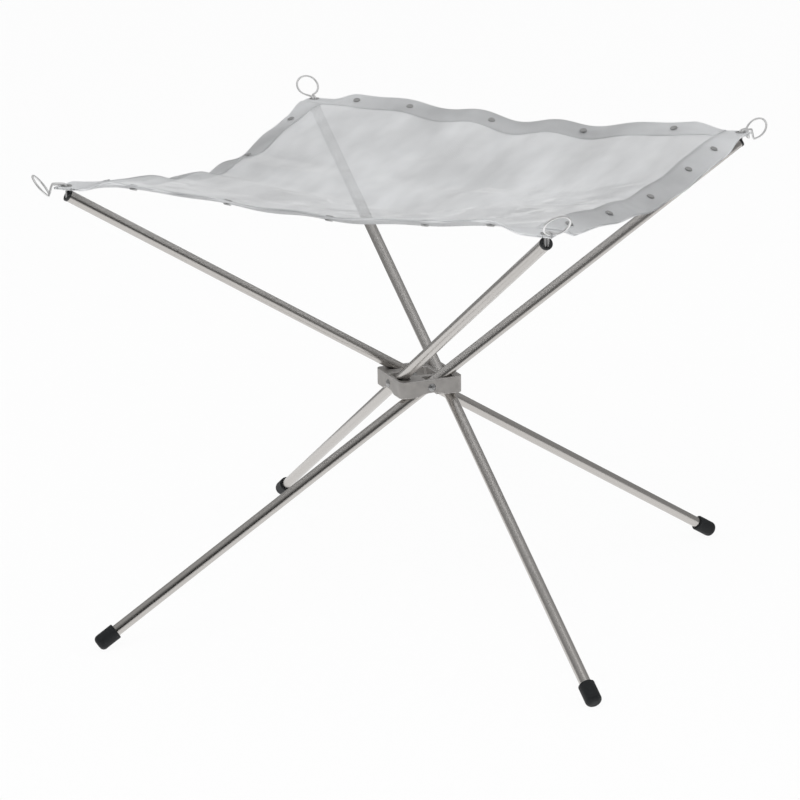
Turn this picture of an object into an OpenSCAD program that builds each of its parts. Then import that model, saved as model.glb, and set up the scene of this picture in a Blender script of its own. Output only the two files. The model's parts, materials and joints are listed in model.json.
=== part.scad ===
// Folding fire pit: four steel tubes cross in a slotted cast hub and turn on its pins.
// A square of woven steel mesh hangs from the tube tops by a wire hook at each corner.
// Millimetres, +Z up, origin on the ground under the middle of the hub.

/* [Legs] */
// From a pivot to the outer end of the plug in the tube's top
upper_len = 345; // [260:1:430]
// From a pivot to the outer end of the foot cap
lower_len = 349; // [260:1:430]
// Angle of an opened tube above the ground, in degrees
open_angle = 32; // [28:1:38]
// Outside diameter of a tube
tube_od = 9.5; // [8.5:0.1:11]
// Wall of a tube
tube_wall = 0.8; // [0.6:0.1:1.1]
// From the middle of the hub to the axis of each tube
leg_offset = 20.5; // [19.5:0.5:26]

/* [Foot caps] */
// Outside diameter of a foot cap
cap_od = 13.5; // [12.6:0.1:16]
// Length of a foot cap
cap_len = 19; // [14:0.5:30]
// Thickness of a foot cap's closed end
cap_end = 4; // [2:0.5:6]
// Rounding of a foot cap's closed end
cap_round = 4; // [2:0.5:5]
// Depth of the flat worn on a foot cap where it stands
sole_cut = 0.6; // [0.3:0.1:1]

/* [End plugs] */
// Thickness of the plug's flange on the tube end
flange_t = 2; // [1.5:0.5:3]
// How far the plug's flange stands out past the tube
flange_lip = 0.3; // [0.1:0.1:0.8]
// Length of the plug inside the tube
spigot_len = 12; // [9:1:20]
// Depth of the hook's socket below the middle of the plug's end face
socket_depth = 3.2; // [2.6:0.1:3.6]

/* [Hub] */
// Height of the hub
hub_h = 14; // [12:0.5:18]
// Thickness of the hub's outer walls
hub_wall = 2.6; // [2:0.2:4]
// Thickness of the hub's inner walls, round its central opening
core_wall = 3.8; // [3:0.2:4.6]
// Rounding of the hub's upright corners
hub_round = 5; // [3:0.5:7]
// Width of the arch under each outer wall
arch_w = 24; // [16:1:30]
// Height of the arch under each outer wall
arch_h = 2.6; // [1.5:0.1:3]
// Diameter of a pivot pin
pin_d = 4; // [3:0.5:4.5]
// Diameter of a pivot pin's round head
pin_head_d = 7; // [6:0.5:7.5]
// Height of a pivot pin's round head
pin_head_h = 1.8; // [1.2:0.1:2.5]
// Diameter of a pivot pin's closed tail
pin_tail_d = 6.2; // [5.5:0.1:7]
// Height of a pivot pin's closed tail
pin_tail_h = 1.2; // [0.8:0.1:2]

/* [Mesh] */
// How far a mesh corner reaches past the middle of the tube end
corner_reach = 9.3; // [8:0.1:16]
// Thickness of the woven mesh
mesh_t = 0.8; // [0.5:0.1:1.2]
// How far the middle of the mesh hangs below its corners
mesh_sag = 24; // [10:1:60]
// How far the middle of each side is drawn in
edge_draw = 6; // [0:1:12]
// Rise of each side's middle: back left, front left, front right, back right
edge_rise = [-25, -10, -16, -10]; // [-30:1:20]
// Lean of each side's wave towards the side's end
edge_skew = [-8, 6, 6, -9]; // [-15:1:15]
// Height of the small waves along each side
edge_wave = [-3, 1, -1, -3]; // [-4:0.5:4]
// Small waves along a side
edge_wave_count = 5; // [1:1:5]
// Height of the soft folds across the mesh
fold_h = 3; // [0:0.5:6]
// Soft folds across the mesh
fold_count = 1.3; // [0.5:0.1:2.5]
// How far each hem's outer edge stands above its inner edge: back left, front left, front right, back right
hem_lip = [-6, 8, -8, 7]; // [-14:1:14]
// Width of the folded hem
hem_w = 22; // [16:1:30]
// Thickness of one layer of the hem
hem_t = 0.5; // [0.4:0.1:0.8]

/* [Rivets and eyelets] */
// From a corner to the rivet beside it, along the side
rivet_corner = 54; // [32:1:60]
// From a corner to the first rivet of the even row
rivet_first = 109; // [70:1:120]
// From the last rivet of the even row to the next corner
rivet_last = 63; // [62:1:100]
// Rivets in the even row of a side
rivet_count = 4; // [2:1:4]
// Diameter of a rivet's shank
rivet_d = 3; // [2:0.5:4]
// Diameter of a rivet's head
rivet_head_d = 6.5; // [5:0.5:8]
// Thickness of a rivet's head
rivet_head_t = 0.9; // [0.5:0.1:1.5]
// Diameter of an eyelet's flanges
eyelet_d = 9; // [8:0.5:11]
// Thickness of an eyelet's flanges
eyelet_t = 0.5; // [0.3:0.1:0.8]
// Wall of an eyelet's barrel
eyelet_wall = 0.7; // [0.5:0.1:1]

/* [Hooks] */
// Diameter of the hook wire
wire_d = 1.8; // [1.4:0.1:2]
// Outside diameter of the pull ring
ring_od = 22; // [18:0.5:28]
// Distance between the wires where they open into the ring
neck_w = 5; // [4:0.5:8]
// Length of the hook's level shank, out past the mesh's corner
shank_len = 11.5; // [11:0.5:14]
// How far the neck of the back, left, front and right hook is bent down
neck_drop = [0, 9, 0, 9]; // [0:0.5:10]
// How far a bent neck runs on outwards
neck_reach = 2.5; // [1:0.5:6]
// Tilt of the pull ring above level, in degrees
ring_tilt = 52; // [30:1:75]
// How deep the prong stands in its socket, below the middle of the plug's end face
prong_depth = 2.8; // [1.5:0.1:3]
// Turn of the back, left, front and right hook from straight outwards, in degrees
hook_turn = [0, -20, 0, 20]; // [-60:1:60]

/* [Hidden] */
// Clearances: along a pin, beside a tube in its slot, in a pushed joint, between layers, round a loose wire
pin_gap = 0.04;
slot_gap = 0.3;
push_gap = 0.05;
layer_gap = 0.1;
wire_gap = 0.35;
// Clearance between the mesh's corner and the tube end that it lies over
rest_gap = 0.3;
// Slack under a rivet's head, which bridges the curve of the hem
head_gap = 0.2;
// Overrun of a cutting shape past the face that it cuts
over = 1;
// Space between the two wires of a prong
prong_gap = 0.5;

tube_r = tube_od / 2;
end_out = upper_len * cos(open_angle);
end_up = upper_len * sin(open_angle);
flange_r = tube_r + flange_lip;
pivot_h = (lower_len - cap_round) * sin(open_angle) + (cap_od / 2 - cap_round) * cos(open_angle)
  + cap_round - sole_cut;
slot_half = tube_r + slot_gap;
core_half = leg_offset - slot_half - core_wall;
hub_half = leg_offset + slot_half + hub_wall;
core_round = core_half / 4;
arch_r = (arch_w * arch_w / 4 + arch_h * arch_h) / (2 * arch_h);

// The mesh: side halves in the sheet's own square, heights above the pivots
sheet_half = (norm([end_out, leg_offset]) + corner_reach) / sqrt(2);
sheet_turn = 45 - atan2(leg_offset, end_out);
hem_in = 1 - hem_w / sheet_half;
eyelet_low = end_up + flange_r * cos(open_angle) + rest_gap;
corner_h = eyelet_low + eyelet_t + hem_t + layer_gap + mesh_t / 2;
hem_top = mesh_t / 2 + layer_gap + hem_t;
eyelet_high = corner_h + hem_top + eyelet_t;
cells = 20;
grid = concat([-1], [for (i = [0 : cells]) hem_in * (2 * i / cells - 1)], [1]);
last = len(grid) - 1;

// The hook: its two wires stand side by side in the prong
prong_pitch = wire_d + prong_gap;
prong_d = prong_pitch + wire_d;
socket_d = prong_d + 2 * wire_gap;
eyelet_bore = prong_d + 2 * wire_gap;
eyelet_barrel = eyelet_bore + 2 * eyelet_wall;
ring_r = (ring_od - wire_d) / 2;
ring_gap = asin(neck_w / 2 / ring_r);
shank_h = eyelet_high + rest_gap + wire_d / 2;
wire_bend = 1.5 * wire_d;
wire_sides = 10;
ring_step = 14;
ring_steps = 22;

$fn = 48;

// Places: leg k of the pinwheel, with its pivot at the origin and, along the tube, its top at +Z
module at_pivot(k) {
  rotate([0, 0, 90 * (k - 1)]) translate([leg_offset, 0, pivot_h]) children();
}

module along_tube(k) {
  at_pivot(k) rotate([open_angle - 90, 0, 0]) children();
}

// The middle of a tube's end face, seen level, with +Y outwards
module at_tube_end(k) {
  at_pivot(k) translate([0, end_out, 0]) children();
}

// The hub
module rounded_block(half, round, h) {
  flat = half - round;
  for (x = [-flat, flat], y = [-flat, flat]) translate([x, y, -h / 2]) cylinder(r = round, h = h);
  cube([2 * half, 2 * flat, h], center = true);
  cube([2 * flat, 2 * half, h], center = true);
}

// The room that one tube sweeps between lying open and standing upright, plus its clearance
module tube_slot() {
  top = hub_h / 2 + over;
  lean = (slot_half + top * cos(open_angle)) / sin(open_angle);
  nick = slot_half * (1 - sin(open_angle)) / cos(open_angle);
  half_turn = [[-slot_half, top], [lean, top], [slot_half, -nick]];
  outline = concat(half_turn, [for (p = half_turn) -p]);
  translate([-slot_half, 0, 0]) rotate([90, 0, 90]) linear_extrude(2 * slot_half) polygon(outline);
}

module pin_bore(length) {
  rotate([0, 90, 0]) cylinder(d = pin_d + 2 * pin_gap, h = length, center = true);
}

module wall_arch() {
  translate([slot_half, 0, arch_h - hub_h / 2 - arch_r]) rotate([0, 90, 0])
    cylinder(r = arch_r, h = hub_wall + over, $fn = 96);
}

module hub() {
  color("darkgray") difference() {
    translate([0, 0, pivot_h]) rounded_block(hub_half, hub_round, hub_h);
    translate([0, 0, pivot_h]) rounded_block(core_half, core_round, hub_h + 2 * over);
    for (k = [1 : 4]) at_pivot(k) {
      tube_slot();
      pin_bore(4 * hub_wall + 4 * slot_half);
      wall_arch();
    }
  }
}

module pivot_pin(k) {
  grip = hub_half - core_half;
  dome = (pin_head_d * pin_head_d / 4 + pin_head_h * pin_head_h) / (2 * pin_head_h);
  color("dimgray") at_pivot(k) translate([core_half - leg_offset, 0, 0]) rotate([0, 90, 0]) {
    translate([0, 0, -pin_tail_h]) cylinder(d = pin_tail_d, h = pin_tail_h);
    cylinder(d = pin_d, h = grip);
    translate([0, 0, grip]) intersection() {
      cylinder(d = pin_head_d, h = pin_head_h);
      translate([0, 0, pin_head_h - dome]) sphere(r = dome, $fn = 96);
    }
  }
}

// The legs
module tube(k) {
  low = lower_len - cap_end;
  high = upper_len - flange_t;
  color("silver") along_tube(k) difference() {
    translate([0, 0, -low]) cylinder(r = tube_r, h = low + high);
    translate([0, 0, -low - over]) cylinder(r = tube_r - tube_wall, h = low + high + 2 * over);
    pin_bore(tube_od + 2 * over);
  }
}

// Outline of a foot cap from its axis outwards: rounded end, plain barrel and a hollow for the tube
module cap_outline() {
  r = cap_od / 2;
  bore = tube_r + push_gap;
  lip = (r - bore) / 3;
  turns = [for (a = [0 : 15 : 90]) [r - cap_round + cap_round * sin(a), cap_round - cap_round * cos(a)]];
  polygon(concat([[0, 0]], turns,
    [[r, cap_len - lip], [r - lip, cap_len], [bore, cap_len], [bore, cap_end], [0, cap_end]]));
}

module foot_cap(k) {
  color("#2a2b30") difference() {
    along_tube(k) translate([0, 0, -lower_len]) rotate_extrude() cap_outline();
    translate([0, 0, -lower_len]) cube(2 * lower_len, center = true);
  }
}

module end_plug(k) {
  edge = flange_lip;
  color("#2a2b30") difference() {
    along_tube(k) translate([0, 0, upper_len - flange_t]) {
      cylinder(r = flange_r, h = flange_t - edge);
      translate([0, 0, flange_t - edge]) cylinder(r1 = flange_r, r2 = flange_r - edge, h = edge);
      translate([0, 0, -spigot_len]) cylinder(r = tube_r - tube_wall - push_gap, h = spigot_len);
    }
    at_tube_end(k) translate([0, 0, end_up - socket_depth]) cylinder(d = socket_d, h = tube_od + over);
  }
}

// The mesh, in its own square: u and v run from -1 to 1, and side k is the top side turned k quarters
function turned(k, s, w) = [[s, w], [-w, s], [-s, -w], [w, -s]][k];
function bump(t) = (1 - t * t) * (1 - t * t);
function wave(k, t) =
  bump(t) * (edge_rise[k] + edge_skew[k] * t + edge_wave[k] * cos(180 * edge_wave_count * t));
function lift(k, t, w) = wave(k, t) * (1 + w) * (1 + w) / 4;
// A doubled hem is stiff and stays straight across its width, so the waves end inside the hems
function inside(t) = max(-1, min(1, t / hem_in));
// A hem's outer edge stands up or droops, and comes back to level in the flats beside the corners
function clamped(x) = max(0, min(1, x));
function lip(k, t, w) =
  hem_lip[k] * clamped((1 - abs(t)) * cells / 2) * clamped((w - hem_in) / (1 - hem_in));
function height(p) =
  let (u = inside(p[0]), v = inside(p[1]), middle = (1 - u * u) * (1 - v * v))
  corner_h - mesh_sag * middle + fold_h * middle * sin(180 * fold_count * (2 * u - v))
  + lift(0, u, v) + lift(1, v, -u) + lift(2, -u, -v) + lift(3, -v, u)
  + lip(0, u, p[1]) + lip(1, v, -p[0]) + lip(2, -u, -p[1]) + lip(3, -v, p[0]);
function drawn(t) = sheet_half - edge_draw * (1 - t * t);
function spot(p, rise) = [p[0] * drawn(p[1]), p[1] * drawn(p[0]), height(p) + rise];
function two(a, b, c, d) = [[a, b, c], [a, c, d]];
function flat_list(lists) = [for (l = lists) for (x = l) x];

// Cells in the left and right hems are split along the other diagonal, as their hems are
function other_split(i, j) = (i == 0 && j < last - 1) || (i == last - 1 && j > 0);

module in_sheet() {
  translate([0, 0, pivot_h]) rotate([0, 0, sheet_turn]) children();
}

module sheet_body() {
  m = last + 1;
  under = m * m;
  points = flat_list([for (rise = [mesh_t / 2, -mesh_t / 2]) for (u = grid)
    [for (v = grid) spot([u, v], rise)]]);
  faces = flat_list([
    for (i = [0 : last - 1], j = [0 : last - 1])
      let (a = i * m + j, b = a + 1, c = a + m + 1, d = a + m)
      concat(other_split(i, j) ? two(d, a, b, c) : two(a, b, c, d),
        other_split(i, j) ? two(under + b, under + a, under + d, under + c)
          : two(under + a, under + d, under + c, under + b)),
    for (i = [0 : last - 1])
      let (a = i * m, b = a + m, c = b + last, d = a + last)
      concat(two(a, b, under + b, under + a), two(c, d, under + d, under + c)),
    for (j = [0 : last - 1])
      let (a = j + 1, b = j, c = last * m + j, d = c + 1)
      concat(two(a, b, under + b, under + a), two(c, d, under + d, under + c))]);
  polyhedron(points, faces);
}

// A hem folds round side k: eight points at each station, out over the mesh, round its edge and back
function hem_ring(k, s) =
  let (out = turned(k, 0, 1), inner = turned(k, s, hem_in), edge = turned(k, s, 1),
    near = layer_gap, far = layer_gap + hem_t, half = mesh_t / 2)
  [spot(inner, half + far), spot(edge, half + far) + far * [out[0], out[1], 0],
    spot(edge, -half - far) + far * [out[0], out[1], 0], spot(inner, -half - far),
    spot(inner, -half - near), spot(edge, -half - near) + near * [out[0], out[1], 0],
    spot(edge, half + near) + near * [out[0], out[1], 0], spot(inner, half + near)];

module hem_body(k) {
  stations = [for (i = [0 : last - 1]) grid[i]];
  points = flat_list([for (s = stations) hem_ring(k, s)]);
  end = 8 * (len(stations) - 1);
  walls = flat_list([for (i = [0 : len(stations) - 2], p = [0 : 7])
    let (q = (p + 1) % 8, a = 8 * i + p, b = 8 * i + q, c = b + 8, d = a + 8)
    p == 2 || p == 6 ? two(d, a, b, c) : two(a, b, c, d)]);
  ends = flat_list([for (f = [[0, 1, 6, 7], [1, 2, 5, 6], [5, 2, 3, 4]])
    concat(two(end + f[0], end + f[1], end + f[2], end + f[3]), two(f[3], f[2], f[1], f[0]))]);
  polyhedron(points, concat(walls, ends));
}

// Rivet seats along side k: a length along the side, measured from the corner that its row starts at
rivet_pitch = (2 * sheet_half - rivet_first - rivet_last) / (rivet_count - 1);
rivet_rows = concat([rivet_corner], [for (i = [0 : rivet_count - 1]) rivet_first + i * rivet_pitch]);

// A rivet's head lies within one flat of the hem, clear of the flat's ends by this share of its length
seat_share = 0.6 * rivet_head_d / (2 * hem_in * sheet_half / cells);

module at_rivet(k, run) {
  s = run / sheet_half - 1;
  place = (s / hem_in + 1) * cells / 2;
  cell = floor(place);
  share = max(seat_share, min(1 - seat_share, place - cell));
  inner = [for (i = [1, 2]) spot(turned(k, grid[cell + i], hem_in), 0)];
  edge = [for (i = [1, 2]) spot(turned(k, grid[cell + i], 1), 0)];
  start = (inner[0] + edge[0]) / 2;
  along = (inner[1] + edge[1]) / 2 - start;
  slope = atan2(along[2], norm([along[0], along[1]]));
  lean = atan2((edge[0] + edge[1] - inner[0] - inner[1])[2] / 2, hem_w);
  in_sheet() translate(start + share * along) rotate([0, -slope, 90 * k]) rotate([lean, 0, 0]) children();
}

module rivet_holes(k) {
  for (run = rivet_rows) at_rivet(k, run)
    cylinder(d = rivet_d + 2 * layer_gap, h = 4 * hem_top + over, center = true);
}

module eyelet_hole(k) {
  at_tube_end(k) translate([0, 0, corner_h])
    cylinder(d = eyelet_barrel + 2 * layer_gap, h = 4 * hem_top + over, center = true);
}

module mesh_sheet() {
  color("gainsboro") difference() {
    in_sheet() sheet_body();
    for (k = [0 : 3]) rivet_holes(k);
    for (k = [1 : 4]) eyelet_hole(k);
  }
}

module hem(k) {
  color("lightgray") difference() {
    in_sheet() hem_body(k - 1);
    rivet_holes(k - 1);
    eyelet_hole(k % 4 + 1);
  }
}

module hem_rivets() {
  grip = hem_top + head_gap;
  color("gray") for (k = [0 : 3], run = rivet_rows) at_rivet(k, run) {
    cylinder(d = rivet_d, h = 2 * grip, center = true);
    for (side = [0, 1]) mirror([0, 0, side]) translate([0, 0, grip])
      cylinder(d1 = rivet_head_d, d2 = rivet_head_d - rivet_head_t, h = rivet_head_t);
  }
}

module corner_eyelets() {
  flange_up = eyelet_high - eyelet_t;
  color("gray") for (k = [1 : 4]) at_tube_end(k) difference() {
    union() {
      translate([0, 0, eyelet_low]) cylinder(d = eyelet_barrel, h = eyelet_high - eyelet_low);
      translate([0, 0, eyelet_low]) cylinder(d = eyelet_d, h = eyelet_t);
      translate([0, 0, flange_up]) cylinder(d = eyelet_d, h = eyelet_t);
    }
    translate([0, 0, eyelet_low - over]) cylinder(d = eyelet_bore, h = eyelet_high - eyelet_low + 2 * over);
  }
}

// The hooks: each is one bent wire, up the prong, out along the shank, round the ring and back
bent_neck = [[neck_w / 2, shank_len - wire_d / 2, shank_h], [neck_w / 2, shank_len, shank_h - wire_d / 3]];
function ring_start(k) = shank_len + (neck_drop[k] > 0 ? neck_reach : 0);
function half_hook(k) = concat(
  [[prong_pitch / 2, 0, end_up - prong_depth]],
  [for (a = [0 : 30 : 90])
    [prong_pitch / 2, wire_bend * (1 - cos(a)), shank_h - wire_bend * (1 - sin(a))]],
  neck_drop[k] > 0 ? bent_neck : [],
  [[neck_w / 2, ring_start(k), shank_h - neck_drop[k]]]);
function ring_point(k, b) =
  let (run = ring_r * (cos(ring_gap) - cos(b)))
  [ring_r * sin(b), ring_start(k) + run * cos(ring_tilt), shank_h - neck_drop[k] + run * sin(ring_tilt)];
function mirrored(path) = [for (i = [len(path) - 1 : -1 : 0]) [-path[i][0], path[i][1], path[i][2]]];
function unit(v) = v / norm(v);
function square_to(side, run) = unit(side - (side * run) * run);

// A round wire swept along a path that starts upwards; its sides are carried along from point to point
module swept_wire(path) {
  n = len(path) - 1;
  runs = [for (i = [1 : n]) unit(path[i] - path[i - 1])];
  tangents = [for (i = [0 : n]) unit(runs[max(i - 1, 0)] + runs[min(i, n - 1)])];
  sides = [for (i = 0, side = [1, 0, 0]; i <= n;
    i = i + 1, side = i <= n ? square_to(side, tangents[i]) : side) side];
  points = flat_list([for (i = [0 : n])
    let (first = sides[i], second = cross(tangents[i], first))
    [for (j = [0 : wire_sides - 1])
      let (a = 360 * j / wire_sides) path[i] + wire_d / 2 * (first * cos(a) + second * sin(a))]]);
  walls = flat_list([for (i = [0 : n - 1], j = [0 : wire_sides - 1])
    let (a = i * wire_sides + j, b = i * wire_sides + (j + 1) % wire_sides)
    two(a, a + wire_sides, b + wire_sides, b)]);
  tip = n * wire_sides;
  ends = flat_list([for (j = [1 : wire_sides - 2]) [[0, j, j + 1], [tip, tip + j + 1, tip + j]]]);
  polyhedron(points, concat(walls, ends));
}

module hook(k) {
  start = ring_gap + ring_step;
  ring = [for (b = [start : (360 - 2 * start) / ring_steps : 360.5 - start]) ring_point(k - 1, b)];
  half = half_hook(k - 1);
  path = concat(half, ring, mirrored(half));
  color("silver") at_tube_end(k) rotate([0, 0, hook_turn[k - 1]]) swept_wire(path);
}

hub();
pivot_pin(1);  // pivot_pin_1
pivot_pin(2);  // pivot_pin_2
pivot_pin(3);  // pivot_pin_3
pivot_pin(4);  // pivot_pin_4
tube(1);  // tube_1
tube(2);  // tube_2
tube(3);  // tube_3
tube(4);  // tube_4
foot_cap(1);  // foot_cap_1
foot_cap(2);  // foot_cap_2
foot_cap(3);  // foot_cap_3
foot_cap(4);  // foot_cap_4
end_plug(1);  // end_plug_1
end_plug(2);  // end_plug_2
end_plug(3);  // end_plug_3
end_plug(4);  // end_plug_4
mesh_sheet();
hem(1);  // hem_1
hem(2);  // hem_2
hem(3);  // hem_3
hem(4);  // hem_4
hem_rivets();
corner_eyelets();
hook(1);  // hook_1
hook(2);  // hook_2
hook(3);  // hook_3
hook(4);  // hook_4
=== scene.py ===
# %% [markdown]
# # A folding fire pit
# Four steel tubes cross in a small cast hub, like the sticks of a camp stool, and a square of woven
# wire cloth hangs by its corners from their upper ends. The CAD model gives every rigid piece its
# shape and place. This script dresses it: finishes for the metal, rubber and plastic, and softer,
# finer forms for the wire cloth, its hems and the bent wire hooks.

import bpy
import json
from math import asin, atan2, cos, hypot, pi, radians, sin, sqrt, tan
from mathutils import Matrix, Vector, noise


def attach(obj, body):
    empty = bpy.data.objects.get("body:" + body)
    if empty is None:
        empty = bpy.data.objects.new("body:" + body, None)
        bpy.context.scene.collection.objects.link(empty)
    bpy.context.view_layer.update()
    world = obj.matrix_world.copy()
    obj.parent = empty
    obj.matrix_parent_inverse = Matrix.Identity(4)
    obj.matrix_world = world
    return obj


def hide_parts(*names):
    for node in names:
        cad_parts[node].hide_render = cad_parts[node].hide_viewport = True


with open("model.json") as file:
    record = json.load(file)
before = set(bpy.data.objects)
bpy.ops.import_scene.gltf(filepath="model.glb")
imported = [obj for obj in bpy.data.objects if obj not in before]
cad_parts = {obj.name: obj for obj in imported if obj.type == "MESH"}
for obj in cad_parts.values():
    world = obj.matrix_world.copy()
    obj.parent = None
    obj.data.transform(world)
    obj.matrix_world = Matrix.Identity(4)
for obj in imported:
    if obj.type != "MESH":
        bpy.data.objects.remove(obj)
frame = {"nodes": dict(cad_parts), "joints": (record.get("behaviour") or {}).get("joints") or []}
nodes = frame["nodes"]
joints = {joint["name"]: joint for joint in frame["joints"]}
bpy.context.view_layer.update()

# %% [markdown]
# ## Sizes that come from the model
# The joints say where things are: the first leg turns at the side of the hub, and the first hook
# swivels over the middle of its tube's end. Everything else repeats every quarter turn, so two points
# are enough to place the whole pinwheel. Lengths are in metres.

# %% Places of the pivots and of the mesh corners
LEG_OFFSET, _, PIVOT_HEIGHT = joints["leg_fold_1"]["pos_m"]
_, END_OUT, CORNER_HEIGHT = joints["hook_swivel_1"]["pos_m"]
OPEN_ANGLE = radians(32)
MM = 0.001
QUARTERS = (1, 2, 3, 4)


def quarter_turn(k):
    return Matrix.Rotation(pi / 2 * (k - 1), 4, "Z")


print("pivot height", round(PIVOT_HEIGHT, 4), "corner height", round(CORNER_HEIGHT, 4))

# %% [markdown]
# ## The camera
# The picture was taken with a long lens from a little above the mesh. The angles below come from
# matching the lines and ends of the crossing tubes. The camera is turned so that the hub lands a little
# right of and above the middle of the frame, instead of shifting the lens.

# %% Camera
AZIMUTH, ELEVATION, ROLL = radians(-22.66), radians(16.2), radians(-0.62)
DISTANCE = 2.3005
FOCAL_PIXELS, FRAME_PIXELS, SENSOR_WIDTH = 2723.2, 800, 36
HUB_OFF_MIDDLE = (19.1, 20.8)

hub_centre = Vector((0, 0, PIVOT_HEIGHT))
back = Vector((sin(AZIMUTH) * cos(ELEVATION), -cos(AZIMUTH) * cos(ELEVATION), sin(ELEVATION)))
level = Vector((cos(AZIMUTH), sin(AZIMUTH), 0))
rise = back.cross(level)
right = cos(ROLL) * level + sin(ROLL) * rise
up = back.cross(right)
place = hub_centre + DISTANCE * back
target = hub_centre - (HUB_OFF_MIDDLE[0] * right + HUB_OFF_MIDDLE[1] * up) * DISTANCE / FOCAL_PIXELS
look = (place - target).normalized()
right = (right - right.dot(look) * look).normalized()
up = look.cross(right)

lens = bpy.data.cameras.new("camera")
lens.sensor_width = SENSOR_WIDTH
lens.lens = SENSOR_WIDTH * FOCAL_PIXELS / FRAME_PIXELS
camera = bpy.data.objects.new("camera", lens)
camera.matrix_world = Matrix.Translation(place) @ Matrix((right, up, look)).transposed().to_4x4()
bpy.context.scene.collection.objects.link(camera)
bpy.context.scene.camera = camera
bpy.context.scene.view_settings.view_transform = "Standard"
print("lens", round(lens.lens, 1), "mm")

# %% [markdown]
# ## Writing shader maths as sums
# A material is a tree of nodes. Typing each Math node by hand hides the idea, so `Value` wraps one
# output socket and lets Python's own operators add the nodes. `Finish` owns a tree, and its one
# `node` method makes any other node from its type, its settings and what goes into its sockets. A few
# helpers follow: `speckle` is noise with a given size of blotch, `blend` mixes two colours, `add_mesh`
# makes an object from points and faces, and `dress` gives a solid of the model its finish.

# %% Value and Finish
class Value:
    def __init__(self, finish, socket):
        self.finish, self.socket = finish, socket

    def math(self, operation, *others):
        inputs = dict(enumerate((self,) + others))
        return self.finish.node("ShaderNodeMath", {"operation": operation}, inputs)

    def __add__(self, other):
        return self.math("ADD", other)

    __radd__ = __add__

    def __mul__(self, other):
        return self.math("MULTIPLY", other)

    __rmul__ = __mul__

    def __sub__(self, other):
        return self.math("SUBTRACT", other)

    def __rsub__(self, other):
        return (self * -1) + other

    def __truediv__(self, other):
        return self.math("DIVIDE", other)

    def __lt__(self, other):
        return self.math("LESS_THAN", other)

    def __abs__(self):
        return self.math("ABSOLUTE")


class Finish:
    def __init__(self, owner):
        owner.use_nodes = True
        self.owner, self.tree = owner, owner.node_tree

    def node(self, kind, settings=None, sockets=None, take=0):
        made = self.tree.nodes.new(kind)
        for key, setting in (settings or {}).items():
            if key == "stops":
                self.set_ramp(made.color_ramp, setting)
            else:
                setattr(made, key, setting)
        for key, value in (sockets or {}).items():
            self.feed(made.inputs[key], value)
        return Value(self, made.outputs[take])

    def feed(self, socket, value):
        if isinstance(value, Value):
            self.tree.links.new(value.socket, socket)
        else:
            socket.default_value = value

    def set_ramp(self, ramp, stops):
        while len(ramp.elements) < len(stops):
            ramp.elements.new(1)
        for element, (position, colour) in zip(ramp.elements, stops):
            element.position, element.color = position, colour

    def surface(self, **inputs):
        shader = self.tree.nodes["Principled BSDF"]
        for name, value in inputs.items():
            self.feed(shader.inputs[name.replace("_", " ")], value)
        return self.owner

    def output(self, value):
        kind = "OUTPUT_WORLD" if isinstance(self.owner, bpy.types.World) else "OUTPUT_MATERIAL"
        end = next(n for n in self.tree.nodes if n.type == kind)
        self.tree.links.new(value.socket, end.inputs["Surface"])


def grey(level, warmth=0.0):
    """A neutral colour, nudged warm or cool."""
    return (level * (1 + warmth), level, level * (1 - warmth), 1)


def new_finish(name):
    return Finish(bpy.data.materials.new(name))


def add_mesh(name, points, faces, material):
    mesh = bpy.data.meshes.new(name)
    mesh.from_pydata(points, [], faces)
    mesh.materials.append(material)
    piece = bpy.data.objects.new(name, mesh)
    bpy.context.scene.collection.objects.link(piece)
    return piece


def dress(name, material):
    """Gives a solid of the CAD model its finish."""
    nodes[name].data.materials.clear()
    nodes[name].data.materials.append(material)


def round_points(radius, sides):
    return [(radius * cos(2 * pi * i / sides), radius * sin(2 * pi * i / sides)) for i in range(sides)]


def round_walls(sides):
    """Faces between two round rims, one after the other in the list of points."""
    return [(i, (i + 1) % sides, sides + (i + 1) % sides, sides + i) for i in range(sides)]


def here(finish):
    return finish.node("ShaderNodeTexCoord", take="Object")


def speckle(finish, where, size, detail=2.0):
    return finish.node("ShaderNodeTexNoise", sockets={"Vector": where, "Scale": 1 / size, "Detail": detail})


def blend(finish, share, first, second):
    mix = {0: share, 6: first, 7: second}
    return finish.node("ShaderNodeMix", {"data_type": "RGBA"}, mix, take=2)


def ramp(finish, value, *stops):
    return finish.node("ShaderNodeValToRGB", {"stops": stops}, {0: value})


# %% [markdown]
# ## The studio
# The pit stands on white paper in soft light. The world is white only for the rays that look at it,
# straight or in a reflection, so the background is white without pouring more light on the metal. The
# paper catches the light and a faint shadow, but lets those looking rays through, so a folded leg that
# reaches below the paper still shows. Two large lamps stand left and right, kept out of reflections,
# where they would be grainy. Polished tubes would mirror only white here and lose their form, so a tall
# grey wall stands round the table, with a dark card at the front, as a photographer would set it. Both
# show in reflections alone: the card is the dark line along a tube.

# %% Floor, world and lamps
AMBIENT = 0.62
FLOOR_HALF, FLOOR_CLEARNESS = 12, 0.94
WALL_RADIUS, WALL_HEIGHT, WALL_SIDES = 0.8, 3.2, 48
CARD_SIDE = (-0.385, -0.923)
WALL_TONES = ((0.0, 0.3), (0.12, 0.34), (0.3, 0.46), (1.0, 0.58))
CARD_TONES = ((0.0, 0.01), (0.12, 0.02), (0.3, 0.4), (1.0, 0.58))
LAMPS = {"key": ((-1.5, -1.3, 2.4), 3.0, 34), "fill": ((2.2, -0.6, 1.6), 2.4, 10)}


def seen_directly(finish):
    """1 for rays from the camera, in a reflection or through glass, else 0."""
    rays = [finish.node("ShaderNodeLightPath", take=name)
            for name in ("Is Camera Ray", "Is Glossy Ray", "Is Transmission Ray")]
    return rays[0].math("MAXIMUM", rays[1]).math("MAXIMUM", rays[2])


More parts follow.
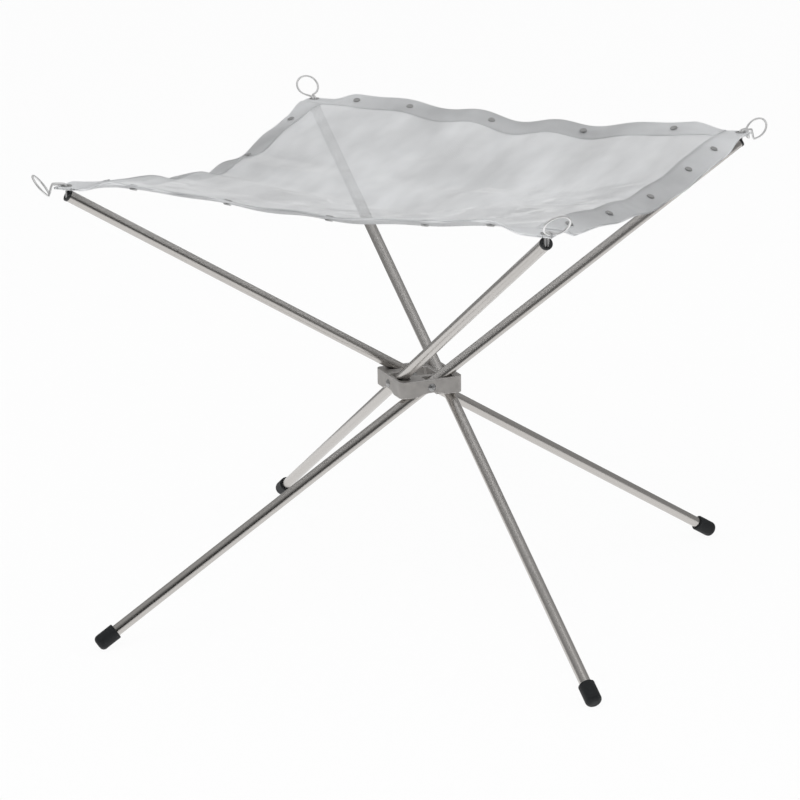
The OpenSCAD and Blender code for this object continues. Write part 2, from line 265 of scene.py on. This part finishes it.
def white_paper():
    paper = new_finish("white_paper")
    paper.surface(Base_Color=grey(0.9), Roughness=0.9)
    clear = paper.node("ShaderNodeBsdfTransparent", sockets={"Color": grey(1)})
    lit = Value(paper, paper.tree.nodes["Principled BSDF"].outputs[0])
    share = seen_directly(paper) * FLOOR_CLEARNESS
    paper.output(paper.node("ShaderNodeMixShader", sockets={0: share, 1: lit, 2: clear}))
    return paper.owner


def black_card():
    card = new_finish("black_card")
    x, y, height = [card.node("ShaderNodeSeparateXYZ", sockets={0: here(card)}, take=i) for i in range(3)]
    toward = (x * CARD_SIDE[0] + y * CARD_SIDE[1]) / WALL_RADIUS
    front = toward.math("MAXIMUM", 0).math("POWER", 2)
    tones = [ramp(card, height / WALL_HEIGHT, *[(share, grey(tone)) for share, tone in stops])
             for stops in (WALL_TONES, CARD_TONES)]
    colour = blend(card, front, *tones)
    card.output(card.node("ShaderNodeEmission", sockets={"Color": colour, "Strength": 1}))
    return card.owner


def lamp(name, spot, width, watts):
    light = bpy.data.lights.new(name, "AREA")
    light.shape, light.size, light.energy = "DISK", width, watts
    stand = bpy.data.objects.new(name, light)
    aim = (Vector(spot) - hub_centre).to_track_quat("Z", "Y")
    stand.matrix_world = Matrix.Translation(spot) @ aim.to_matrix().to_4x4()
    stand.visible_glossy = False
    bpy.context.scene.collection.objects.link(stand)


floor_corners = [(x * FLOOR_HALF, y * FLOOR_HALF, 0) for x, y in ((-1, -1), (1, -1), (1, 1), (-1, 1))]
floor = add_mesh("floor", floor_corners, [(0, 1, 2, 3)], white_paper())

wall_rims = [(x, y, z) for z in (0, WALL_HEIGHT) for x, y in round_points(WALL_RADIUS, WALL_SIDES)]
dark_wall = add_mesh("dark_wall", wall_rims, round_walls(WALL_SIDES), black_card())
dark_wall.visible_camera = dark_wall.visible_diffuse = dark_wall.visible_shadow = False
dark_wall.visible_transmission = dark_wall.visible_volume_scatter = False

sky = Finish(bpy.data.worlds.new("studio"))
bpy.context.scene.world = sky.owner
brightness = AMBIENT + (1 - AMBIENT) * seen_directly(sky)
sky.output(sky.node("ShaderNodeBackground", sockets={"Color": grey(1), "Strength": brightness}))

for name, (spot, width, watts) in LAMPS.items():
    lamp(name, spot, width, watts)
print("studio ready")

# %% [markdown]
# ## Finishes
# Every finish starts from the object's own coordinates in metres, so grain and weave have a true size,
# and follow a piece when it moves. Bumps are given in metres too, and `worn_edge` softens a sharp edge.

# %% Helpers for edges and bumps
def bumped(finish, height, depth, strength=1.0, normal=None):
    sockets = {"Height": height, "Distance": depth, "Strength": strength}
    if normal is not None:
        sockets["Normal"] = normal
    return finish.node("ShaderNodeBump", sockets=sockets)


def worn_edge(finish, radius):
    """A normal that is rounded over a solid's sharp edges."""
    return finish.node("ShaderNodeBevel", {"samples": 6}, {"Radius": radius})


# %% [markdown]
# The hub is a small aluminium casting: satin, slightly grainy and a little uneven in tone, with edges
# that tumbling has softened. Its edges could be bevelled as geometry, but the solid is cut by so many
# slots and bores that a rounded normal is the cleaner way. Where that normal leaves the face's own, the
# metal is at an edge, and its colour is lighter there: partly rubbed wear, partly a painted highlight.

# %% Cast hub
RUB_AND_HIGHLIGHT_GAIN = 8


def cast_metal():
    cast = new_finish("cast_hub")
    where = here(cast)
    tone = speckle(cast, where, 9 * MM, 3)
    grain = speckle(cast, where, 0.7 * MM, 4)
    colour = ramp(cast, tone, (0.3, grey(0.37, 0.04)), (0.7, grey(0.47, 0.04)))
    rounded = worn_edge(cast, 0.9 * MM)
    faces = cast.node("ShaderNodeNewGeometry", take="Normal")
    alike = cast.node("ShaderNodeVectorMath", {"operation": "DOT_PRODUCT"}, {0: rounded, 1: faces},
                      take="Value")
    # painted highlight and wear: the colour turns lighter along every sharp edge, standing in for light
    # caught by the rounded edges as well as rubbed metal
    rubbed_and_highlit_edge = (RUB_AND_HIGHLIGHT_GAIN * (1 - alike)).math("MINIMUM", 1)
    colour = blend(cast, rubbed_and_highlit_edge, colour, grey(0.8, 0.02))
    normal = bumped(cast, grain, 0.12 * MM, 0.5, rounded)
    return cast.surface(Base_Color=colour, Metallic=0.6, Roughness=0.38 + 0.18 * tone, Normal=normal)


dress("hub", cast_metal())
print("hub dressed")

# %% [markdown]
# The tubes are drawn stainless steel, polished along their length. In tube coordinates, with Z along
# the tube, noise that is squeezed across and stretched along gives the fine drawing lines. Each tube
# lies its own way, so each gets the finish with its own axis.

# %% Tubes
LINE_STRETCH = (1, 1, 0.012)


def drawn_steel(name, k):
    steel = new_finish(name)
    turn = (OPEN_ANGLE - pi / 2, 0, pi / 2 * (k - 1))
    pivot = quarter_turn(k) @ Vector((LEG_OFFSET, 0, PIVOT_HEIGHT))
    along = steel.node("ShaderNodeMapping", {"vector_type": "TEXTURE"},
                       {"Vector": here(steel), "Location": pivot, "Rotation": turn})
    stretched = steel.node("ShaderNodeVectorMath", {"operation": "MULTIPLY"}, {0: along, 1: LINE_STRETCH})
    lines = speckle(steel, stretched, 2.2 * MM, 2)
    smudge = speckle(steel, along, 28 * MM, 3)
    colour = blend(steel, lines, grey(0.50, 0.04), grey(0.58, 0.04))
    rough = 0.22 + 0.03 * lines + 0.06 * smudge
    return steel.surface(Base_Color=colour, Metallic=1.0, Roughness=rough)


for k in QUARTERS:
    dress(f"tube_{k}", drawn_steel(f"drawn_steel_{k}", k))
print("tubes dressed")

# %% [markdown]
# The pins, rivets and eyelets are small satin steel pieces, darker than the tubes, with a fine
# unevenness from being formed cold.

# %% Pins, rivets and eyelets
def formed_steel(name, dark, light):
    steel = new_finish(name)
    where = here(steel)
    tone = speckle(steel, where, 3 * MM, 3)
    colour = ramp(steel, tone, (0.3, grey(dark)), (0.7, grey(light)))
    normal = bumped(steel, speckle(steel, where, 0.5 * MM), 0.05 * MM, 0.4, worn_edge(steel, 0.25 * MM))
    return steel.surface(Base_Color=colour, Metallic=0.9, Roughness=0.26 + 0.16 * tone, Normal=normal)


pin_finish = formed_steel("pin_steel", 0.34, 0.46)
rivet_finish = formed_steel("rivet_steel", 0.46, 0.58)
for k in QUARTERS:
    dress(f"pivot_pin_{k}", pin_finish)
for name in ("hem_rivets", "corner_eyelets"):
    dress(name, rivet_finish)
print("small steel dressed")

# %% [markdown]
# The feet are black rubber caps and the upper ends have black plastic plugs. Both are near black but
# not the same: rubber is softer in gloss and picks up dust where it stands on the ground, which the
# height above the floor gives directly.

# %% Feet and plugs
DUST_HEIGHT = 4 * MM


def black_rubber():
    rubber = new_finish("black_rubber")
    where = here(rubber)
    grain = speckle(rubber, where, 0.6 * MM, 3)
    height = rubber.node("ShaderNodeSeparateXYZ", sockets={0: where}, take=2)
    dusty = (1 - (height / DUST_HEIGHT).math("MINIMUM", 1)) * speckle(rubber, where, 2.5 * MM, 3)
    colour = blend(rubber, dusty, grey(0.015, -0.1), grey(0.08))
    return rubber.surface(Base_Color=colour, Roughness=0.5 + 0.16 * grain, Specular_IOR_Level=0.3,
                          Normal=bumped(rubber, grain, 0.08 * MM, 0.4, worn_edge(rubber, 0.5 * MM)))


def black_plastic():
    plastic = new_finish("black_plastic")
    where = here(plastic)
    grain = speckle(plastic, where, 0.4 * MM, 2)
    colour = blend(plastic, speckle(plastic, where, 4 * MM), grey(0.018, -0.06), grey(0.032, -0.06))
    return plastic.surface(Base_Color=colour, Roughness=0.34 + 0.14 * grain,
                           Normal=bumped(plastic, grain, 0.05 * MM, 0.35, worn_edge(plastic, 0.3 * MM)))


rubber_finish, plastic_finish = black_rubber(), black_plastic()
for k in QUARTERS:
    dress(f"foot_cap_{k}", rubber_finish)
    dress(f"end_plug_{k}", plastic_finish)
print("feet and plugs dressed")

# %% [markdown]
# ## The wire cloth
# The bed is plain-woven steel wire, a wire every 1.4 mm both ways. Modelling each wire would take
# hundreds of thousands of faces, so the weave is drawn in the finish: it covers the surface where a
# wire runs and is clear between. The cloth is a shell with two faces, so a low glance crosses two
# layers of wires and sees less through it, as with real cloth. Long light and dark streaks run across
# the bed, a painted sheen for the light caught by creases, and bed and hem are painted lighter towards
# the corners, a painted highlight.

# %% Weave finish
SIDE_TURN = pi / 4 - atan2(LEG_OFFSET, END_OUT)
WIRE_PITCH, WIRE_TINT = 1.4 * MM, -0.012
PAINTED_SHEEN_SIZE = 36 * MM
CORNER_HIGHLIGHT_STARTS, CORNER_HIGHLIGHT_BLEND = 0.22, 0.05


def woven_wire(name, wire_share, dark, light, corner_highlight, painted_sheen_stretch):
    cloth = new_finish(name)
    where = here(cloth)
    square = cloth.node("ShaderNodeMapping", {"vector_type": "TEXTURE"},
                        {"Vector": where, "Rotation": (0, 0, SIDE_TURN)})
    across, along = [cloth.node("ShaderNodeSeparateXYZ", sockets={0: square}, take=i) / WIRE_PITCH
                     for i in (0, 1)]
    off_warp, off_weft = [2 * abs(run.math("FRACT") - 0.5) for run in (across, along)]
    warp, weft = off_warp < wire_share, off_weft < wire_share
    over = [(pi * (run + other.math("FLOOR"))).math("COSINE")
            for run, other in ((along, across), (across, along))]
    warp_height = warp * (1.5 - off_warp / wire_share + 0.5 * over[0])
    weft_height = weft * (1.5 - off_weft / wire_share - 0.5 * over[1])
    height = warp_height.math("MAXIMUM", weft_height)
    # painted sheen: streaks of lighter and darker colour along the bed stand in for light and shade on
    # creases
    stretched = cloth.node("ShaderNodeVectorMath", {"operation": "MULTIPLY"}, {0: square, 1: painted_sheen_stretch})
    tone = speckle(cloth, stretched, PAINTED_SHEEN_SIZE, 3)
    x, y = [cloth.node("ShaderNodeSeparateXYZ", sockets={0: where}, take=i) for i in (0, 1)]
    # painted highlight: bed and hem turn lighter towards the corners, away from the darker middle of each
    # hem
    near_corner = ((x * x + y * y).math("SQRT") - CORNER_HIGHLIGHT_STARTS) / CORNER_HIGHLIGHT_BLEND
    colour = ramp(cloth, tone, (0.32, grey(dark, WIRE_TINT)), (0.68, grey(light, WIRE_TINT)))
    colour = blend(cloth, near_corner, colour, grey(corner_highlight, WIRE_TINT))
    return cloth.surface(Base_Color=colour, Metallic=0.3, Roughness=0.44 + 0.12 * tone,
                         Alpha=warp.math("MAXIMUM", weft), Normal=bumped(cloth, height, 0.12 * MM, 0.5))


# the fifth value is the grey of the painted highlight at the corners
cloth_finish = woven_wire("woven_mesh", 0.35, 0.72, 0.92, 0.88, (0.3, 1, 1))
hem_finish = woven_wire("hem_mesh", 0.39, 0.66, 0.80, 0.95, (1, 1, 1))
print("weave pitch", WIRE_PITCH)

# %% [markdown]
# The cloth's square runs from -1 to 1 both ways, in u and v. Its edges bow in between the corners and
# rise and fall, the doubled hems stay straight across their width, two standing up like lips and two
# drooping, and the middle hangs. The same named values shape the solid in the CAD model, so the rivets
# sit on this surface. Only the crumples are new: soft dents, and a few long creases where the noise is
# folded at zero, which fade out towards the hems.

# %% Shape of the cloth
CORNER_REACH, EDGE_DRAW, HEM_WIDTH = 9.3 * MM, 6 * MM, 22 * MM
MESH_SAG, FOLD_HEIGHT, FOLD_COUNT = 24 * MM, 3 * MM, 1.3
EDGE_RISE = (-25 * MM, -10 * MM, -16 * MM, -10 * MM)
EDGE_SKEW = (-8 * MM, 6 * MM, 6 * MM, -9 * MM)
EDGE_WAVE, EDGE_WAVE_COUNT = (-3 * MM, 1 * MM, -1 * MM, -3 * MM), 5
HEM_LIP, LIP_FULL = (-6 * MM, 8 * MM, -8 * MM, 7 * MM), 0.15
CRUMPLE, CRUMPLE_SIZE, CRUMPLE_FADE = 2.6 * MM, 46 * MM, 0.7
FINER_SHARE, FINER_BY, FINER_FROM = 0.5, 2.3, Vector((9, 4, 0))
CREASE, CREASE_SIZE = 3.2 * MM, 60 * MM
CREASE_STRETCH, CREASE_SLANT, CREASE_LAYER = 0.35, 0.25, 30

SHEET_HALF = (hypot(END_OUT, LEG_OFFSET) + CORNER_REACH) / sqrt(2)
HEM_START = 1 - HEM_WIDTH / SHEET_HALF
to_model = Matrix.Translation((0, 0, CORNER_HEIGHT)) @ Matrix.Rotation(SIDE_TURN, 4, "Z")


def edge_lift(k, t, nearness):
    bow = (1 - t * t) ** 2
    edge = bow * (EDGE_RISE[k] + EDGE_SKEW[k] * t + EDGE_WAVE[k] * cos(pi * EDGE_WAVE_COUNT * t))
    return edge * (1 + nearness) ** 2 / 4


def clamped(x, low=0):
    return max(low, min(1, x))


def hem_lip(k, t, out):
    near_corner = clamped((1 - abs(t)) / LIP_FULL)
    eased = near_corner * near_corner * (3 - 2 * near_corner)
    return HEM_LIP[k] * eased * clamped((out - HEM_START) / (1 - HEM_START))


def inside(t):
    return clamped(t / HEM_START, -1)


def crumple(u, v):
    fade = ((1 - u * u) * (1 - v * v)) ** CRUMPLE_FADE
    spot = Vector((u, v, 0)) * SHEET_HALF
    finer = noise.noise(FINER_BY * spot / CRUMPLE_SIZE + FINER_FROM)
    dents = noise.noise(spot / CRUMPLE_SIZE) + FINER_SHARE * finer
    long_way = Vector((CREASE_STRETCH * spot.x, spot.y + CREASE_SLANT * spot.x, CREASE_LAYER)) / CREASE_SIZE
    return fade * (CRUMPLE * dents + CREASE * abs(noise.noise(long_way)))


def cloth_height(p, q):
    u, v = inside(p), inside(q)
    middle = (1 - u * u) * (1 - v * v)
    hang = -MESH_SAG * middle + FOLD_HEIGHT * middle * sin(pi * FOLD_COUNT * (2 * u - v))
    edges = edge_lift(0, u, v) + edge_lift(1, v, -u) + edge_lift(2, -u, -v) + edge_lift(3, -v, u)
    lips = hem_lip(0, u, q) + hem_lip(1, v, -p) + hem_lip(2, -u, -q) + hem_lip(3, -v, p)
    return hang + edges + lips + crumple(u, v)


def cloth_point(u, v, above=0.0):
    plan = [t * (SHEET_HALF - EDGE_DRAW * (1 - s * s)) for t, s in ((u, v), (v, u))]
    return to_model @ Vector((plan[0], plan[1], cloth_height(u, v) + above))


print("cloth side", round(2 * SHEET_HALF, 4))

# %% [markdown]
# The shell is lofted from rows of points: one ring goes across the top of the cloth and back under it,
# and the rings follow each other from side to side. The same loft makes the hems.

# %% Loft and cut
CLOTH_THICKNESS = 0.4 * MM
CLOTH_STEPS, HEM_STEPS = 100, 5
HOLE_RADIUS, HOLE_SIDES, DRILL_REACH = 3.2 * MM, 32, 10 * MM


def smooth_piece(name, points, faces, finish):
    piece = add_mesh(name, points, faces, finish)
    piece.data.shade_smooth()
    return piece


def loft(name, rings, finish):
    """A closed skin over rings of points; each ring runs out along one side and back along the other."""
    n = len(rings[0])
    points = [p for ring in rings for p in ring]
    faces = [(n * i + j, n * i + (j + 1) % n, n * (i + 1) + (j + 1) % n, n * (i + 1) + j)
             for i in range(len(rings) - 1) for j in range(n)]
    cap = [(j, j + 1, n - 2 - j, n - 1 - j) for j in range(n // 2 - 1)]
    last = n * (len(rings) - 1)
    faces += [tuple(reversed(quad)) for quad in cap] + [tuple(last + j for j in quad) for quad in cap]
    return smooth_piece(name, points, faces, finish)


def eyelet_holes(piece):
    """Cuts the round holes at the corners that the eyelets fill."""
    ends = [tuple(reversed(range(HOLE_SIDES))), tuple(range(HOLE_SIDES, 2 * HOLE_SIDES))]
    for k in QUARTERS:
        middle = quarter_turn(k) @ Vector((LEG_OFFSET, END_OUT, CORNER_HEIGHT))
        rims = [middle + Vector((x, y, z)) for z in (-DRILL_REACH, DRILL_REACH)
                for x, y in round_points(HOLE_RADIUS, HOLE_SIDES)]
        drill = smooth_piece("drill", rims, round_walls(HOLE_SIDES) + ends, cloth_finish)
        cut = piece.modifiers.new("hole", "BOOLEAN")
        cut.operation, cut.object = "DIFFERENCE", drill
        bpy.context.view_layer.update()
        result = piece.evaluated_get(bpy.context.evaluated_depsgraph_get())
        drilled = bpy.data.meshes.new_from_object(result)
        piece.modifiers.clear()
        piece.data = drilled
        bpy.data.objects.remove(drill)


band = [HEM_START + (1 - HEM_START) * i / HEM_STEPS for i in range(HEM_STEPS + 1)]
bed = [HEM_START * (2 * i / CLOTH_STEPS - 1) for i in range(1, CLOTH_STEPS)]
steps = [-t for t in reversed(band)] + bed + band
half = CLOTH_THICKNESS / 2
rows = [[cloth_point(u, v, half) for v in steps] + [cloth_point(u, v, -half) for v in reversed(steps)]
        for u in steps]
cloth = loft("wire_cloth", rows, cloth_finish)
eyelet_holes(cloth)
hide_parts("mesh_sheet")
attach(cloth, "mesh")
print("cloth faces", len(cloth.data.polygons))

# %% [markdown]
# ## The hems
# Along each side a strip of the same cloth is folded round the edge and riveted through. Its section
# goes out over the cloth, round the fold in a half circle and back underneath, twice: once on the
# outside and once on the inside of the strip. The strip's inner edges are pressed flat on the cloth.

# %% Hems
HEM_CLEAR, HEM_THICKNESS, HEM_FLAT = 0.5 * MM, 0.5 * MM, 0.45
HEM_ROWS, FOLD_STEPS = 4, 6


def side_point(k, along, out, above):
    """A point of the cloth's square beside side k, where out = 1 is the edge."""
    u, v = ((along, out), (-out, along), (-along, -out), (out, -along))[k]
    return cloth_point(clamped(u, -1), clamped(v, -1), above)


def hem_section(k, along, clear):
    outward = to_model.to_3x3() @ Vector(((0, 1, 0), (-1, 0, 0), (0, -1, 0), (1, 0, 0))[k])
    outs = [HEM_START + (1 - HEM_START) * i / HEM_ROWS for i in range(HEM_ROWS + 1)]
    heights = [clear * min(1, HEM_FLAT + i) for i in range(HEM_ROWS + 1)]
    top = [side_point(k, along, out, height) for out, height in zip(outs, heights)]
    edge = side_point(k, along, 1, 0)
    turn = [edge + clear * (outward * sin(a) + Vector((0, 0, cos(a))))
            for a in (pi * (i + 1) / (FOLD_STEPS + 1) for i in range(FOLD_STEPS))]
    under = [side_point(k, along, out, -height) for out, height in zip(outs, heights)]
    return top + turn + under[::-1]


for k in QUARTERS:
    stations = [-1 + (1 + HEM_START) * i / CLOTH_STEPS for i in range(CLOTH_STEPS + 1)]
    rings = [hem_section(k - 1, s, HEM_CLEAR + HEM_THICKNESS) + hem_section(k - 1, s, HEM_CLEAR)[::-1]
             for s in stations]
    hem = loft(f"folded_hem_{k}", rings, hem_finish)
    eyelet_holes(hem)
    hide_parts(f"hem_{k}")
    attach(hem, "mesh")

# %% [markdown]
# ## The hooks
# Each hook is one springy wire bent double: up the prong, out along the shank, round the pull ring and
# back the same way. On two of them a neck bends down before the ring. A curve with a round bevel is just
# that, a wire along a path, and it stays smooth where a swept mesh would show its corners.

# %% Hook wire finish and path
WIRE_D, PRONG_GAP, PRONG_DEPTH = 1.8 * MM, 0.5 * MM, 2.8 * MM
RING_D, NECK_WIDTH, SHANK_LENGTH, RING_TILT = 22 * MM, 5 * MM, 11.5 * MM, radians(52)
NECK_DROP, NECK_REACH = (0, 9 * MM, 0, 9 * MM), 2.5 * MM
HOOK_TURN = (0, -20, 0, 20)
END_UP = END_OUT * tan(OPEN_ANGLE)
SHANK_ABOVE = 2.7 * MM
ELBOW_STEPS, RING_STEPS, CORNER_CUTS, BEVEL_STEPS = 4, 48, 2, 4


def bright_wire():
    wire = new_finish("hook_wire")
    tone = speckle(wire, here(wire), 5 * MM, 3)
    colour = ramp(wire, tone, (0.3, grey(0.82)), (0.7, grey(0.94)))
    fine = speckle(wire, here(wire), 0.4 * MM)
    return wire.surface(Base_Color=colour, Metallic=0.8, Roughness=0.34 + 0.14 * tone,
                        Normal=bumped(wire, fine, 0.02 * MM, 0.15))


def eased_corners(points):
    """Cuts every corner of a path a few times, and keeps its ends."""
    for _ in range(CORNER_CUTS):
        cuts = [p.lerp(q, share) for p, q in zip(points, points[1:]) for share in (0.25, 0.75)]
        points = [points[0]] + cuts + [points[-1]]
    return points


def hook_path(k):
    """Points of the wire, from the middle of the tube end, with the shank running out along +Y."""
    apart, bend, shank = (WIRE_D + PRONG_GAP) / 2, 1.5 * WIRE_D, CORNER_HEIGHT + SHANK_ABOVE
    ring_r, drop = (RING_D - WIRE_D) / 2, NECK_DROP[k - 1]
    gap = asin(NECK_WIDTH / 2 / ring_r)
    prong = [(apart, 0, PIVOT_HEIGHT + END_UP - PRONG_DEPTH)]
    elbow = [(apart, bend * (1 - cos(a)), shank - bend * (1 - sin(a)))
             for a in (pi / 2 * i / ELBOW_STEPS for i in range(ELBOW_STEPS + 1))]
    neck = [(NECK_WIDTH / 2, SHANK_LENGTH - WIRE_D / 2, shank),
            (NECK_WIDTH / 2, SHANK_LENGTH, shank - WIRE_D / 3)]
    start = SHANK_LENGTH + (NECK_REACH if drop else 0)
    angles = [gap + (2 * pi - 2 * gap) * i / RING_STEPS for i in range(RING_STEPS + 1)]
    reach = [ring_r * (cos(gap) - cos(b)) for b in angles]
    ring = [(ring_r * sin(b), start + out * cos(RING_TILT), shank - drop + out * sin(RING_TILT))
            for b, out in zip(angles, reach)]
    half_way = prong + elbow + (neck if drop else [])
    path = half_way + ring + [(-x, y, z) for x, y, z in reversed(half_way)]
    return eased_corners([Vector(p) for p in path])


def wire_hook(name, k, finish):
    curve = bpy.data.curves.new(name, "CURVE")
    curve.dimensions, curve.bevel_depth, curve.bevel_resolution = "3D", WIRE_D / 2, BEVEL_STEPS
    curve.use_fill_caps = True
    points = hook_path(k)
    spline = curve.splines.new("POLY")
    spline.points.add(len(points) - 1)
    turn = Matrix.Rotation(radians(HOOK_TURN[k - 1]), 4, "Z")
    swivel = Matrix.Translation((LEG_OFFSET, END_OUT, 0)) @ turn
    for knot, point in zip(spline.points, points):
        knot.co = (quarter_turn(k) @ swivel @ point).to_4d()
    spline.use_smooth = True
    curve.materials.append(finish)
    hook = bpy.data.objects.new(name, curve)
    bpy.context.scene.collection.objects.link(hook)
    return hook


wire_finish = bright_wire()
for k in QUARTERS:
    hook = wire_hook(f"wire_hook_{k}", k, wire_finish)
    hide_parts(f"hook_{k}")
    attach(hook, f"hook_{k}")
print("hooks done")
